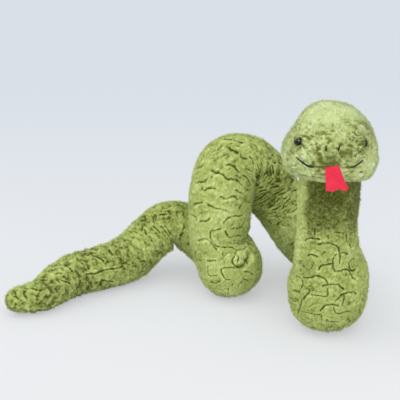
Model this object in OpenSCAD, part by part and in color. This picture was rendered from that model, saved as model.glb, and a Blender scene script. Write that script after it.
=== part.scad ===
// Plush snake, posed with its head raised on an upright neck and its body in
// a high arch, a low arch and a tapering tail. Each stretch of the body is a
// sewn plush cover round a stuffing core. Stretches that bend against each
// other meet in a round end and a hollow. Millimetres, +Z up, floor at Z = 0,
// the face looks along -Y.

/* [Head] */
// Width of the head across the cheeks
head_w = 99; // [92:1:106]
// Distance from the centre of the head to the nose
nose_reach = 50; // [46:1:54]
// Distance from the centre of the head to its back
nape_reach = 46; // [42:1:50]
// Height of the crown above the widest line of the head
crown_h = 56.5; // [50:0.5:62]
// Depth of the jaw below the widest line of the head
jaw_h = 21; // [18:0.5:24]
// Height of the mouth seam above the underside of the head
mouth_h = 23; // [20:0.5:25]
// Turn of the face to the viewer's left, in degrees
face_turn = 6; // [0:1:12]

/* [Face] */
// Diameter of an eye bead
eye_d = 8; // [6:0.5:10]
// Height of the eyes above the underside of the head
eye_h = 44.5; // [40:0.5:48]
// Angle of each eye from the middle of the face
eye_angle = 44; // [38:1:50]
// Diameter of the shank behind an eye bead
shank_d = 4; // [3:0.5:5]
// Length of the shank behind an eye bead
shank_l = 13; // [11:0.5:15]
// Diameter of the lock washer on the shank
washer_d = 14; // [12:0.5:16]
// Thickness of the lock washer
washer_t = 2; // [1.5:0.25:3]
// Height of the nostril stitches above the underside of the head
nostril_h = 42; // [38:0.5:46]
// Length of a nostril stitch
nostril_l = 5; // [4:0.5:7]
// Thickness of the embroidery thread rows
stitch_d = 1.6; // [1.2:0.1:2.2]
// Rise of the smile from its inner end to its outer end
smile_rise = 7; // [5:0.5:9]
// Length of the felt tongue
tongue_l = 28; // [22:1:32]
// Width of the tongue at the mouth
tongue_w = 14; // [11:0.5:17]
// Width of the tongue across its two tips
fork_w = 22; // [18:0.5:26]
// Thickness of the felt
felt_t = 2; // [1.5:0.25:3]

/* [Neck and base] */
// Diameter of the neck
neck_d = 65; // [61:1:68]
// Height of the underside of the head above the floor
neck_h = 179; // [172:1:190]
// Depth to which the neck goes into the head
head_seat = 12; // [8:1:15]
// Diameter of the bulge at the foot of the neck
base_d = 89; // [84:1:94]

/* [Body] */
// Diameter of the run that lies behind the base
run_d = 75; // [70:1:80]
// Diameter of the rising leg of the high arch
rise_d = 71; // [66:1:74]
// Diameter of the body at the top of the high arch
arch_d = 77; // [72:1:81]
// Diameter of the front leg of the high arch
leg_d = 72; // [68:1:76]
// Diameter of the front foot
foot_d = 76; // [72:1:80]
// Diameter of the low arch
low_arch_d = 61; // [57:1:65]
// Diameter of the tail where it reaches the floor
tail_d = 58; // [54:1:62]
// Diameter of the blunt tip of the tail
tip_d = 29; // [25:1:33]

/* [Pose] */
// Height of the top of the high arch
arch_h = 175; // [168:1:186]
// Height of the top of the low arch
low_arch_h = 91; // [88:1:96]
// Distance from the base back to the rising leg
rear_reach = 144; // [138:1:152]
// Distance from the base sideways to the front foot
foot_side = 106; // [102:1:114]
// Distance from the base back to the front foot
foot_back = 86; // [80:1:92]
// Distance from the front foot sideways to the tip of the tail
tail_side = 240; // [230:1:255]
// Distance that the low arch bows back behind the front foot
tail_bow = 66; // [62:1:72]
// Lean of the neck sideways, from the base to the head
lean_side = 6; // [0:1:9]
// Lean of the neck forwards, from the base to the head
lean_front = 8; // [0:1:11]

/* [Making] */
// Thickness of the plush, backing and pile together
fabric_t = 3; // [2:0.25:4]
// Clearance between soft pieces
gap = 0.3; // [0.25:0.05:0.5]
// Depth of the flat on which soft pieces rest
rest_flat = 0.5; // [0.5:0.1:0.8]

/* [Hidden] */

head_green = [0.72, 0.79, 0.52];
body_green = [0.58, 0.65, 0.33];
filling_white = [0.94, 0.94, 0.91];
thread_black = [0.07, 0.07, 0.07];
felt_red = [0.90, 0.15, 0.25];
washer_grey = [0.80, 0.80, 0.78];

sides = 20;        // faces round a cover
core_sides = 10;   // faces round a cavity or a stuffing core
core_turn = 180 / sides;  // so that a cavity's edges cross the middle of a cover's faces
head_sides = 24;   // faces round the head
ring_share = 0.5;  // spacing of rings, in stations
ball_rings = 4;    // rings on a round end
cup_rings = 4;     // rings in a hollow
stitch_sides = 8;
smooth = 48;       // facets of the round bores and beads
open_end = 1;      // how far an open cavity runs past its cover
far = 600;         // longer than the whole toy

// The toy stands with the centre of its footprint at the origin
head_ahead = 11;  // the middle of the head is this far in front of the base
head_aside = 7;   // and this far towards the tail
mid_x = (base_d - 2 * foot_side - 2 * tail_side - tip_d) / 4;
mid_y = (foot_back + tail_bow + low_arch_d / 2 - nose_reach - head_ahead - felt_t) / 2;
centre = [-mid_x, -mid_y, 0];

// Centreline of the body, as stations [x, y, z, radius]
function station(x, y, z, r) = [centre[0] + x, centre[1] + y, z, r];
function on_floor(x, y, r) = station(x, y, r - rest_flat, r);
function mix(a, b, t) = a + (b - a) * t;

neck_top = neck_h + head_seat;
neck_r = neck_d / 2;
base_r = base_d / 2;
column = [
  on_floor(0, 0, base_r),
  station(-0.2 * lean_side, -0.2 * lean_front, mix(base_r, neck_h, 0.16), mix(base_r, neck_r, 0.2)),
  station(-0.6 * lean_side, -0.6 * lean_front, mix(base_r, neck_h, 0.34), mix(base_r, neck_r, 0.68)),
  station(-0.85 * lean_side, -0.8 * lean_front, mix(base_r, neck_h, 0.55), mix(base_r, neck_r, 0.96)),
  station(-lean_side, -0.9 * lean_front, mix(base_r, neck_h, 0.75), neck_r),
  station(-lean_side, -lean_front, neck_top, neck_r)
];

arch_z = arch_h - arch_d / 2;
foot_r = foot_d / 2;
rear = [
  on_floor(0, 0, 0.53 * run_d),
  on_floor(0.03 * foot_side, 0.29 * rear_reach, 0.525 * run_d),
  on_floor(0.055 * foot_side, 0.57 * rear_reach, 0.5 * run_d),
  station(0.03 * foot_side, 0.805 * rear_reach, 0.3 * arch_z, 0.51 * rise_d),
  station(-0.14 * foot_side, 0.945 * rear_reach, 0.4 * arch_z, 0.49 * rise_d),
  station(-0.405 * foot_side, rear_reach, 0.65 * arch_z, 0.5 * rise_d),
  station(-0.64 * foot_side, rear_reach, 0.88 * arch_z, 0.48 * arch_d),
  station(-0.84 * foot_side, 0.96 * rear_reach, arch_z, 0.5 * arch_d),
  station(-1.01 * foot_side, 0.86 * rear_reach, arch_z, 0.5 * arch_d),
  station(-1.095 * foot_side, mix(foot_back, rear_reach, 0.36), 0.865 * arch_z, 0.508 * leg_d),
  station(-1.115 * foot_side, mix(foot_back, rear_reach, 0.17), 0.645 * arch_z, 0.5 * leg_d),
  station(-1.085 * foot_side, mix(foot_back, rear_reach, 0.09), 0.44 * arch_z, 0.5 * leg_d),
  on_floor(-foot_side, foot_back, foot_r)
];

low_z = low_arch_h - low_arch_d / 2;
low_r = low_arch_d / 2;
function tail_station(along, back, z, r) =
  station(-foot_side - along * tail_side, foot_back + back * tail_bow, z, r);
function tail_on_floor(along, back, r) = tail_station(along, back, r - rest_flat, r);
function taper(t) = mix(tail_d, tip_d, t) / 2;
tail = [
  tail_on_floor(0, 0, 0.98 * foot_r),
  tail_on_floor(0.0125, 0.42, 0.96 * foot_r),
  tail_station(0.085, 0.82, mix(0.88 * foot_r, low_z, 0.28), 0.88 * foot_r),
  tail_station(0.19, 1, 0.925 * low_z, low_r),
  tail_station(0.3, 1, low_z, low_r),
  tail_station(0.395, 0.88, 0.78 * low_z, low_r),
  tail_on_floor(0.495, 0.62, taper(0)),
  tail_on_floor(0.61, 0.3, taper(0.17)),
  tail_on_floor(0.725, 0.03, taper(0.34)),
  tail_on_floor(0.815, -0.32, taper(0.55)),
  tail_on_floor(0.89, -0.64, taper(0.76)),
  tail_on_floor(1, -0.79, taper(1))
];

// Where the body bends, in stations along its centreline
neck_sway_at = 1.75;
neck_nod_at = 3.8;
rear_swing_at = 1.6;
arch_turn_at = 5;
tail_lift_at = 5;
tail_swing_at = 7.7;
tail_curl_at = 9.5;

// Stretches of the body:
// [centreline, from, to, start, end]
neck_upper = [column, neck_nod_at, 5, "hollow", "open"];
neck_lower = [column, neck_sway_at, neck_nod_at, "hollow", "round"];
base = [column, 0, neck_sway_at, "round", "round"];
floor_run = [rear, 0.5, rear_swing_at, "open", "round"];
rear_turn = [rear, rear_swing_at, 3.7, "hollow", "open"];
rising_leg = [rear, 3.7, arch_turn_at, "open", "round"];
arch_rear = [rear, arch_turn_at, 7.3, "hollow", "open"];
arch_front = [rear, 7.3, 9.7, "open", "open"];
front_leg = [rear, 9.7, 12, "open", "round"];
foot_run = [tail, 0.4, 1.6, "open", "open"];
low_arch_rear = [tail, 1.6, 3.3, "open", "open"];
low_arch_front = [tail, 3.3, tail_lift_at, "open", "round"];
tail_root = [tail, tail_lift_at, tail_swing_at, "hollow", "round"];
tail_middle = [tail, tail_swing_at, tail_curl_at, "hollow", "round"];
tail_tip = [tail, tail_curl_at, 11, "hollow", "round"];

// Smooth curve through stations
function curve(a, b, c, d, t) =
  0.5 * (2 * b + (c - a) * t + (2 * a - 5 * b + 4 * c - d) * t * t
  + (3 * b - a - 3 * c + d) * t * t * t);
function along(w, u) =
  let (n = len(w) - 1, i = min(max(floor(u), 0), n - 1))
  let (before = i > 0 ? w[i - 1] : 2 * w[0] - w[1])
  let (after = i + 2 <= n ? w[i + 2] : 2 * w[n] - w[n - 1])
  curve(before, w[i], w[i + 1], after, u - i);
function place(w, u) = let (p = along(w, u)) [p[0], p[1], p[2]];
function radius(w, u) = along(w, u)[3];
nudge = 0.01;
heading_stride = 0.35;  // stations either side from which a direction is taken
function heading(w, u) = unit(place(w, u + heading_stride) - place(w, u - heading_stride));
function pace(w, u) = norm(place(w, u + nudge) - place(w, u - nudge)) / (2 * nudge);
// Station reached by going a distance along the centreline, in short strides
function ahead(w, u, d, strides = 6) =
  strides == 0 ? u : ahead(w, u + d / strides / pace(w, u), d * (1 - 1 / strides), strides - 1);
function unit(v) = v / norm(v);

// Reach of the inside of a bend towards its middle, which the plush can't cross
bend_share = 0.72;
bend_stride = 0.35;
function inwards(w, u, grow) =
  let (a = max(u - bend_stride, 0), b = min(u + bend_stride, len(w) - 1))
  let (turn = heading(w, b) - heading(w, a), chord = norm(place(w, b) - place(w, a)))
  norm(turn) < nudge ? far * [0, 0, 1] : unit(turn) * (bend_share * chord / norm(turn) + grow);

// Sections [centre, direction, radius, reach inside a bend] from which a stretch is lofted
function side_sections(w, a, b, grow, from = 0) =
  let (n = ceil((b - a) / ring_share - 0.1))
  [for (i = [from:n]) let (u = mix(a, b, i / n))
    [place(w, u), heading(w, u), radius(w, u) + grow, inwards(w, u, grow)]];
function round_end(p, d, r, n, way = 1) =
  [for (i = [1:n]) let (a = 90 * i / n) [p + way * d * r * sin(a), d, i == n ? 0 : r * cos(a)]];
function reversed(v) = [for (i = [len(v) - 1:-1:0]) v[i]];

// A hollow clears the round end that turns in it, flats of both included
cup_span = 68;  // a hollow reaches less than this angle from its middle
function hollow_r(w, u) =
  (radius(w, u) + gap) / (cos(180 / sides) * cos(cup_span / 2 / cup_rings));
// Its rim lies where the stretch is wide enough to leave a lip round it
rim_lip = 2;
function rim_at(s, inset = 0) =
  let (r = hollow_r(s[0], s[1]) + inset, guess = ahead(s[0], s[1], 0.45 * r))
  let (least = radius(s[0], guess) - inset - rim_lip)
  ahead(s[0], s[1], sqrt(r * r - least * least));
function hollow_start(s, u, r, n, grow = 0) =
  let (w = s[0], p = place(w, s[1]), way = place(w, u) - p, d = unit(way), full = acos(norm(way) / r))
  concat(
    [for (i = [0:n]) let (a = full * i / n) [p + d * r * cos(a), d, r * sin(a)]],
    [[place(w, u), d, radius(w, u) + grow]]
  );

function outer_sections(s, grow = 0) =
  let (w = s[0], first = s[3] == "hollow" ? rim_at(s) : s[1], last = s[2])
  let (p = place(w, s[1]), d = heading(w, s[1]), q = place(w, last), e = heading(w, last))
  concat(
    s[3] == "hollow" ? hollow_start(s, first, hollow_r(w, s[1]), cup_rings, grow) :
    s[3] == "round" ? reversed(round_end(p, d, radius(w, s[1]) + grow, ball_rings, -1)) : [[p, d, 0]],
    side_sections(w, first, last, grow, s[3] == "hollow" ? 1 : 0),
    s[4] == "round" ? round_end(q, e, radius(w, last) + grow, ball_rings) : [[q, e, 0]]
  );

// The inside of a cover, or the stuffing in it when it is shrunk by the gap
core_rings = 3;
function core_sections(s, shrink) =
  let (w = s[0], inset = fabric_t + shrink, past = shrink == 0 ? open_end : 0)
  let (first = s[3] == "hollow" ? rim_at(s, inset) : s[1])
  let (last = s[2], p = place(w, first), d = heading(w, first), q = place(w, last), e = heading(w, last))
  concat(
    s[3] == "round" ? reversed(round_end(p, d, radius(w, first) - inset, core_rings, -1)) :
    s[3] == "open" ? [[p - d * past, d, 0],
      [p - d * past, d, radius(w, first) - inset, inwards(w, first, -inset)]] :
    hollow_start(s, first, hollow_r(w, s[1]) + inset, core_rings, -inset),
    side_sections(w, first, last, -inset, s[3] == "hollow" ? 1 : 0),
    s[4] == "round" ? round_end(q, e, radius(w, last) - inset, core_rings) :
    [[q + e * past, e, radius(w, last) - inset, inwards(w, last, -inset)], [q + e * past, e, 0]]
  );

// Ring normals carried along, so that the faces don't twist
function carry(dirs, side, i = 0) =
  i == len(dirs) ? [] :
  let (n = unit(side - (side * dirs[i]) * dirs[i])) concat([n], carry(dirs, n, i + 1));
function first_side(d) = abs(d[2]) < 0.8 ? [0, 0, 1] : [0, 1, 0];

// Offset of a point from the centreline, pressed flat on the inside of a bend
function pressed(offset, reach) =
  is_undef(reach) ? offset :
  let (limit = norm(reach), over = offset * reach / limit - limit)
  over > 0 ? offset - reach * over / limit : offset;

// Solid lofted through sections whose first and last are points
module loft(secs, n, turn = 0) {
  m = len(secs);
  normals = carry([for (s = secs) s[1]], first_side(secs[0][1]));
  points = concat(
    [secs[0][0]],
    [for (i = [1:m - 2]) for (k = [0:n - 1]) let (a = turn + 360 * k / n, s = secs[i])
      s[0] + pressed(s[2] * (cos(a) * normals[i] + sin(a) * cross(s[1], normals[i])), s[3])],
    [secs[m - 1][0]]
  );
  end = len(points) - 1;
  last_ring = end - n;
  faces = concat(
    [for (k = [0:n - 1]) [0, 1 + k, 1 + (k + 1) % n]],
    [for (i = [0:m - 4]) for (k = [0:n - 1])
      let (a = 1 + i * n + k, b = 1 + i * n + (k + 1) % n) each [[a, a + n, b + n], [a, b + n, b]]],
    [for (k = [0:n - 1]) [end, last_ring + (k + 1) % n, last_ring + k]]
  );
  polyhedron(points = points, faces = faces, convexity = 6);
}

module below_floor() {
  translate([-far / 2, -far / 2, -far]) cube([far, far, far]);
}

// Plush cover of a stretch, hollow inside and flat where it rests
module cover(s) {
  difference() {
    loft(outer_sections(s), sides);
    loft(core_sections(s, 0), core_sides, core_turn);
    below_floor();
  }
}

module stuffing(s) {
  loft(core_sections(s, gap), core_sides, core_turn);
}

// Space that a larger stretch takes out of a smaller one beside it
module room_for(s, clear = gap) {
  loft(outer_sections(s, clear), sides);
}

// Head: level rings, wide and square at the jaw, rounded to the crown
head_at = [centre[0] - head_aside, centre[1] - head_ahead, neck_h];
crown_fall = 0.98;  // how fast the upper rings close, 1 is an ellipse
jaw_fall = 0.4;     // smaller is squarer
cheek_power = 1.1;  // squareness of a ring, 1 is an ellipse doubled below
function signed_power(v, e) = sign(v) * pow(abs(v), e);
function turned(p, a) = [p[0] * cos(a) - p[1] * sin(a), p[0] * sin(a) + p[1] * cos(a), p[2]];
// Point on the head: turn is counted from the face's middle to the viewer's right
function head_point(turn, tilt, grow = 0) =
  let (fall = tilt > 0 ? crown_fall : jaw_fall, k = pow(max(cos(tilt), 0), fall))
  let (reach = cos(turn) > 0 ? nose_reach : nape_reach)
  let (x = (head_w / 2 + grow) * k * signed_power(sin(turn), 1 / cheek_power))
  let (y = -(reach + grow) * k * signed_power(cos(turn), 1 / cheek_power))
  let (z = jaw_h + ((tilt > 0 ? crown_h : jaw_h) + grow) * sin(tilt))
  head_at + turned([x, y, z], -face_turn);
function tilt_at(h) = asin((h - jaw_h) / (h > jaw_h ? crown_h : jaw_h));
function head_normal(turn, tilt) = unit(cross(
  head_point(turn + 1, tilt) - head_point(turn - 1, tilt),
  head_point(turn, tilt + 1) - head_point(turn, tilt - 1)));
head_tilts = [-85, -70, -50, -30, -12, 4, 16, 28, 40, 52, 64, 76, 84];

module head_form(grow) {
  m = len(head_tilts);
  n = head_sides;
  points = concat(
    [head_point(0, -90, grow)],
    [for (v = head_tilts) for (k = [0:n - 1]) head_point(360 * k / n, v, grow)],
    [head_point(0, 90, grow)]
  );
  end = n * m + 1;
  faces = concat(
    [for (k = [0:n - 1]) [0, 1 + k, 1 + (k + 1) % n]],
    [for (i = [0:m - 2]) for (k = [0:n - 1])
      let (a = 1 + i * n + k, b = 1 + i * n + (k + 1) % n) each [[a, a + n, b + n], [a, b + n, b]]],
    [for (k = [0:n - 1]) [end, end - n + (k + 1) % n, end - n + k]]
  );
  polyhedron(points = points, faces = faces, convexity = 6);
}

// Round hole under the head in which the neck turns
neck_play = 0.6;
neck_axis = place(column, 5);
module neck_hole(grow = 0) {
  translate([neck_axis[0], neck_axis[1], neck_h - head_seat])
    cylinder(r = neck_r + neck_play + grow, h = 2 * head_seat + gap + grow, $fn = smooth);
}

// Everything below the mouth seam in the front half of the head
chin_back = 4;  // the chin cover ends this far in front of the middle of the head
module jaw_block() {
  translate(head_at) rotate([0, 0, -face_turn])
    translate([-far / 2, -chin_back - far, mouth_h - far])
    cube([far, far, far]);
}

module head_shell() {
  difference() {
    head_form(0);
    head_form(-fabric_t);
    neck_hole();
  }
}

// Turns a piece built along +Z to stand out of the head at a point
module on_head(turn, h) {
  n = head_normal(turn, tilt_at(h));
  translate(head_point(turn, tilt_at(h))) rotate([0, acos(n[2]), atan2(n[1], n[0])]) children();
}

shank_play = 0.2;
washer_play = 0.05;
washer_drop = fabric_t + 1.5;  // from the face of the plush to the washer
module shank_hole(turn) {
  on_head(turn, eye_h) translate([0, 0, -shank_l])
    cylinder(d = shank_d + 2 * shank_play, h = shank_l + eye_d, $fn = smooth);
}

module washer_room(turn) {
  on_head(turn, eye_h) translate([0, 0, -shank_l - 1])
    cylinder(d = washer_d + 2, h = shank_l, $fn = smooth);
}

module eye(turn) {
  color(thread_black) on_head(turn, eye_h) {
    difference() {
      sphere(d = eye_d, $fn = smooth);
      translate([-eye_d, -eye_d, -2 * eye_d]) cube(2 * eye_d);
    }
    translate([0, 0, -shank_l]) cylinder(d = shank_d, h = shank_l + eye_d / 4, $fn = smooth);
  }
}

module eye_washer(turn) {
  color(washer_grey) on_head(turn, eye_h) translate([0, 0, -washer_drop - washer_t]) difference() {
    cylinder(d = washer_d, h = washer_t, $fn = smooth);
    translate([0, 0, -1]) cylinder(d = shank_d + 2 * washer_play, h = washer_t + 2, $fn = smooth);
  }
}

// Row of embroidery that follows the head through points [turn, height]
stitch_lift = 0.15;
module stitch_row(route) {
  p = [for (q = route) head_point(q[0], tilt_at(q[1]), stitch_d / 2 + stitch_lift)];
  m = len(p) - 1;
  dirs = [for (i = [0:m]) unit(p[min(i + 1, m)] - p[max(i - 1, 0)])];
  color(thread_black) loft(
    concat([[p[0] - dirs[0] * stitch_d / 4, dirs[0], 0]],
      [for (i = [0:m]) [p[i], dirs[i], stitch_d / (i == 0 || i == m ? 3 : 2)]],
      [[p[m] + dirs[m] * stitch_d / 4, dirs[m], 0]]),
    stitch_sides);
}

nostril_angle = 7.5;  // from the middle of the face
nostril_slant = 1;    // the upper end leans outwards by this angle
module nostril_stitch(hand) {
  stitch_row([for (i = [0:3]) [hand * nostril_angle + nostril_slant * (i / 3 - 0.5),
    nostril_h + nostril_l * (i / 3 - 0.5)]]);
}

smile_from = 19;  // angle of the inner end from the middle of the face
smile_to = 41;    // and of the outer end
smile_curl = 1.6; // how late the smile turns up
module smile_stitch(hand) {
  stitch_row([for (i = [0:8]) [hand * mix(smile_from, smile_to, i / 8),
    mouth_h + smile_rise * pow(i / 8, smile_curl)]]);
}

module head_cover() {
  color(head_green) difference() {
    head_shell();
    jaw_block();
    shank_hole(eye_angle);
    shank_hole(-eye_angle);
  }
}

module chin_cover() {
  color(head_green) intersection() {
    head_shell();
    jaw_block();
  }
}

module head_stuffing() {
  color(filling_white) difference() {
    head_form(-fabric_t - gap);
    neck_hole(gap);
    washer_room(eye_angle);
    washer_room(-eye_angle);
  }
}

// Felt tongue: hangs from the mouth seam, splits in two tips and leans to the side
tongue_lean = 11;
tongue_turn = 3;  // the tongue leaves the mouth this far to the viewer's right
fork_depth = 4;
fork_round = 2;
tongue_tuck = 2;  // the felt starts this far above the mouth seam
module tongue_outline() {
  tip = fork_w / 2;
  offset(r = fork_round, $fn = 24) offset(delta = -fork_round) polygon([
    [-tongue_w / 2, tongue_tuck], [tongue_w / 2, tongue_tuck],
    [tip, tongue_tuck - tongue_l + fork_depth], [tip - fork_depth, tongue_tuck - tongue_l],
    [fork_depth / 2, tongue_tuck - tongue_l], [0, tongue_tuck - tongue_l + fork_depth],
    [-fork_depth / 2, tongue_tuck - tongue_l], [fork_depth - tip, tongue_tuck - tongue_l],
    [-tip, tongue_tuck - tongue_l + fork_depth]
  ]);
}

module tongue() {
  color(felt_red) translate(head_at) rotate([0, 0, -face_turn])
    translate([nose_reach * sin(tongue_turn), -nose_reach - gap, mouth_h])
    rotate([90, -tongue_lean, 0]) linear_extrude(felt_t) tongue_outline();
}

module left_eye() { eye(-eye_angle); }
module right_eye() { eye(eye_angle); }
module left_eye_washer() { eye_washer(-eye_angle); }
module right_eye_washer() { eye_washer(eye_angle); }
module left_nostril_stitch() { nostril_stitch(-1); }
module right_nostril_stitch() { nostril_stitch(1); }
module left_smile_stitch() { smile_stitch(-1); }
module right_smile_stitch() { smile_stitch(1); }

module neck_upper_cover() { color(body_green) cover(neck_upper); }
module neck_upper_stuffing() { color(filling_white) stuffing(neck_upper); }
module neck_lower_cover() { color(body_green) cover(neck_lower); }
module neck_lower_stuffing() { color(filling_white) stuffing(neck_lower); }
module base_cover() { color(body_green) cover(base); }
module base_stuffing() { color(filling_white) stuffing(base); }

module floor_run_cover() {
  color(body_green) difference() {
    cover(floor_run);
    room_for(base);
  }
}

module floor_run_stuffing() {
  color(filling_white) difference() {
    stuffing(floor_run);
    room_for(base);
  }
}

module rear_turn_cover() { color(body_green) cover(rear_turn); }
module rear_turn_stuffing() { color(filling_white) stuffing(rear_turn); }
module rising_leg_cover() { color(body_green) cover(rising_leg); }
module rising_leg_stuffing() { color(filling_white) stuffing(rising_leg); }
module arch_rear_cover() { color(body_green) cover(arch_rear); }
module arch_rear_stuffing() { color(filling_white) stuffing(arch_rear); }

module arch_front_cover() {
  color(body_green) difference() {
    cover(arch_front);
    room_for(arch_rear);
  }
}

module arch_front_stuffing() {
  color(filling_white) difference() {
    stuffing(arch_front);
    room_for(arch_rear);
  }
}

module front_leg_cover() { color(body_green) cover(front_leg); }
module front_leg_stuffing() { color(filling_white) stuffing(front_leg); }

// The front leg stands in a socket of the foot, which swings round it
foot_swing = 12;  // to either side, in degrees
foot_axis = place(rear, 12);
socket_gap = 2 * gap;  // clearance of the leg in its socket, at any turn
module leg_room() {
  for (turn = [-foot_swing, 0, foot_swing])
    translate(foot_axis) rotate([0, 0, turn]) translate(-foot_axis) room_for(front_leg, socket_gap);
}

module foot_run_cover() {
  color(body_green) difference() {
    cover(foot_run);
    leg_room();
  }
}

module foot_run_stuffing() {
  color(filling_white) difference() {
    stuffing(foot_run);
    leg_room();
  }
}

module low_arch_rear_cover() {
  color(body_green) difference() {
    cover(low_arch_rear);
    leg_room();
  }
}

module low_arch_rear_stuffing() {
  color(filling_white) difference() {
    stuffing(low_arch_rear);
    leg_room();
  }
}

module low_arch_front_cover() { color(body_green) cover(low_arch_front); }
module low_arch_front_stuffing() { color(filling_white) stuffing(low_arch_front); }
module tail_root_cover() { color(body_green) cover(tail_root); }
module tail_root_stuffing() { color(filling_white) stuffing(tail_root); }
module tail_middle_cover() { color(body_green) cover(tail_middle); }
module tail_middle_stuffing() { color(filling_white) stuffing(tail_middle); }
module tail_tip_cover() { color(body_green) cover(tail_tip); }
module tail_tip_stuffing() { color(filling_white) stuffing(tail_tip); }

head_cover();
chin_cover();
head_stuffing();
left_eye();
right_eye();
left_eye_washer();
right_eye_washer();
left_nostril_stitch();
right_nostril_stitch();
left_smile_stitch();
right_smile_stitch();
tongue();
neck_upper_cover();
neck_upper_stuffing();
neck_lower_cover();
neck_lower_stuffing();
base_cover();
base_stuffing();
floor_run_cover();
floor_run_stuffing();
rear_turn_cover();
rear_turn_stuffing();
rising_leg_cover();
rising_leg_stuffing();
arch_rear_cover();
arch_rear_stuffing();
arch_front_cover();
arch_front_stuffing();
front_leg_cover();
front_leg_stuffing();
foot_run_cover();
foot_run_stuffing();
low_arch_rear_cover();
low_arch_rear_stuffing();
low_arch_front_cover();
low_arch_front_stuffing();
tail_root_cover();
tail_root_stuffing();
tail_middle_cover();
tail_middle_stuffing();
tail_tip_cover();
tail_tip_stuffing();
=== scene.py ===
import itertools
import math

import bmesh
import bpy
import numpy as np
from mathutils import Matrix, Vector
from mathutils.kdtree import KDTree


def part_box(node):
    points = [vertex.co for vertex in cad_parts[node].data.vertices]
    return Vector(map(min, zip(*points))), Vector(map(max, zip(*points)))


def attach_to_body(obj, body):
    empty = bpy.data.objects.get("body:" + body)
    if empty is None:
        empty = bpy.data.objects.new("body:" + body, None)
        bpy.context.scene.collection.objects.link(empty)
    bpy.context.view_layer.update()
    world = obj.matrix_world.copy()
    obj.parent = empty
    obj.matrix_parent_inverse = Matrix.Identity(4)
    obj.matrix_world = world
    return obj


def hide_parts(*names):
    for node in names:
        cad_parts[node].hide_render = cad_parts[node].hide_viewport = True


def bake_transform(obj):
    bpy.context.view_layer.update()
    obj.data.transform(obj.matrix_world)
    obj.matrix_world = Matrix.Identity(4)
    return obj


# Plush snake: long-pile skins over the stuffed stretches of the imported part, a light green head
# with bead eyes, thread for nostrils and smile, and a forked felt tongue.
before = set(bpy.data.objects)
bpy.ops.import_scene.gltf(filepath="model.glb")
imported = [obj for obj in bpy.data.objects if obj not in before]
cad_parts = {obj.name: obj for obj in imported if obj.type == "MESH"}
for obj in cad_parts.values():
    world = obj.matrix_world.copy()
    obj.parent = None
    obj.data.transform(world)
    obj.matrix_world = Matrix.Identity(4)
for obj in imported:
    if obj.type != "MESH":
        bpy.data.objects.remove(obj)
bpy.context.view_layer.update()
mm = 0.001
print("frame loaded:", len(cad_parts), "nodes")


def unit(v):
    return v / np.maximum(np.linalg.norm(v, axis=-1, keepdims=True), 1e-12)


def smoothStep(low, high, x):
    t = np.clip((x - low) / (high - low), 0, 1)
    return t * t * (3 - 2 * t)


def hump(x, width):
    return np.exp(-((x / width) ** 2))


# Noise on numpy rows of points, the same each run
slopes = np.array([v for v in itertools.product((-1, 0, 1), repeat=3) if np.abs(v).sum() == 2])
hashFactors = (73856093, 19349663, 83492791, 2654435761, 1274126177, 668265263)
bits32 = 0xFFFFFFFF


def scatter(cells, seed):
    # a number of 32 bits for each cell
    x, y, z, own, first, second = hashFactors
    n = cells[:, 0] * x ^ cells[:, 1] * y ^ cells[:, 2] * z ^ (seed + 1) * own
    n = (n ^ n >> 13) * first & bits32
    n = (n ^ n >> 15) * second & bits32
    return n ^ n >> 16


def softNoise(p, seed):
    base = np.floor(p).astype(np.int64)
    f = p - base
    fade = f * f * f * (f * (f * 6 - 15) + 10)
    total = np.zeros(len(p))
    for corner in itertools.product((0, 1), repeat=3):
        slope = slopes[scatter(base + corner, seed) % len(slopes)]
        share = np.prod(np.where(corner, fade, 1 - fade), axis=1)
        total += share * ((f - corner) * slope).sum(1)
    return total


def driftOf(p, size, seed):
    return np.stack([softNoise(p / size, seed + k) for k in range(3)], 1)


def wander(p, size, amount, seed):
    return p + amount * driftOf(p, size, seed)


def awayFromLines(p, size, seed):
    # signed distance in millimetres from lines that wander over the surface; the least slope keeps
    # flat places from counting as wide lines
    size = np.array(size, float)
    leastSlope = 0.4 / size.mean()
    n = softNoise(p / size, seed)
    slope = np.stack([softNoise((p + side) / size, seed) - n for side in np.eye(3)], 1)
    return n / np.maximum(np.linalg.norm(slope, axis=1), leastSlope)


def cellEdges(p, size, seed):
    # signed distance in millimetres from the borders between scattered cells, each over or under the next
    size = np.array(size, float)
    spot = p / size
    base = np.floor(spot).astype(np.int64)
    best = np.full((2, len(p), 5), 9.0)     # squared distance, centre and number of the nearest two cells
    for side in itertools.product((-1, 0, 1), repeat=3):
        cell = base + side
        n = scatter(cell, seed)
        centre = cell + np.stack([n & 1023, n >> 10 & 1023, n >> 20 & 1023], 1) / 1024
        row = np.column_stack([((centre - spot) ** 2).sum(1), centre, n])
        second = row[:, 0] < best[1, :, 0]
        best[1, second] = row[second]
        first = best[1, :, 0] < best[0, :, 0]
        best[:, first] = best[::-1, first]
    apart = np.linalg.norm(best[1, :, 1:4] - best[0, :, 1:4], axis=1)
    border = (best[1, :, 0] - best[0, :, 0]) / (2 * np.maximum(apart, 0.05)) * size.mean()
    return border * np.sign(best[0, :, 4] - best[1, :, 4])


def nearestOf(spots, p):
    tree = KDTree(len(spots))
    for i, spot in enumerate(spots):
        tree.insert(spot, i)
    tree.balance()
    return np.array([tree.find(v)[2] for v in p])


# Centrelines of the body. Stations are x, y, z and radius in millimetres from the middle of the base.
# Looks give, at a station, how much the pile parts, lies in strokes, ripples and tufts, and its tint, which
# on the neck is painted shade under the head.
baseLow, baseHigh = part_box("base_cover")
baseMiddle = np.array([(baseLow.x + baseHigh.x) / 2 / mm, (baseLow.y + baseHigh.y) / 2 / mm, 0])

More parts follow.
